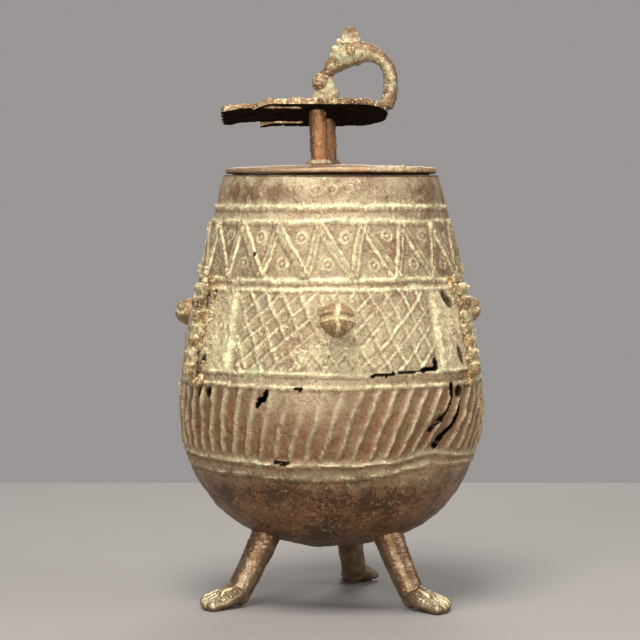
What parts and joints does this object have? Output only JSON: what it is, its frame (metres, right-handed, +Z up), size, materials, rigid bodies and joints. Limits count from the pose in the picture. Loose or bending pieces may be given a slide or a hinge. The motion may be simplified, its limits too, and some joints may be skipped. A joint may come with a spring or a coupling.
{
  "type": "incense burner",
  "caption": "Tripod cast-bronze incense burner with human legs, ear handles and ball bosses, and a lift-off lid carrying a bird that looks back over its tail.",
  "frame": {"origin": "where the axis of the bowl meets the plane the feet stand on", "axes": "+Z up along the axis of the bowl, -Y towards the front of the bowl, +X to the viewer's right, where the bird's breast is"},
  "size_m": [0.1085, 0.1187, 0.1964],
  "materials": {
    "patinated_bronze": "cast, khaki patina",
    "dark_bronze": "cast, dark brown patina",
    "copper_red_bronze": "worn, copper red",
    "solder": "matte, corroded"
  },
  "bodies": {
    "vessel": {"vessel_body": "patinated_bronze", "leg_left": "dark_bronze", "leg_right": "dark_bronze", "leg_rear": "dark_bronze", "handle_left": "copper_red_bronze", "handle_right": "copper_red_bronze", "handle_rear": "copper_red_bronze", "boss_front": "copper_red_bronze", "boss_left": "copper_red_bronze", "boss_right": "copper_red_bronze"},
    "lid": {"lid_disc": "copper_red_bronze", "lid_ring": "copper_red_bronze", "post_near": "copper_red_bronze", "post_far": "copper_red_bronze", "post_solder": "solder", "bird_plate": "patinated_bronze", "plate_beads": "copper_red_bronze", "bird_neck": "patinated_bronze", "bird_crest": "patinated_bronze", "beak_ball": "copper_red_bronze", "beak_solder": "solder", "eye_near": "copper_red_bronze", "eye_far": "copper_red_bronze"}
  },
  "joints": [
    {"name": "lid_lift", "type": "slide", "parent": "vessel", "child": "lid", "axis": [0, 0, 1], "range_m": [0, 0.06]}
  ]
}
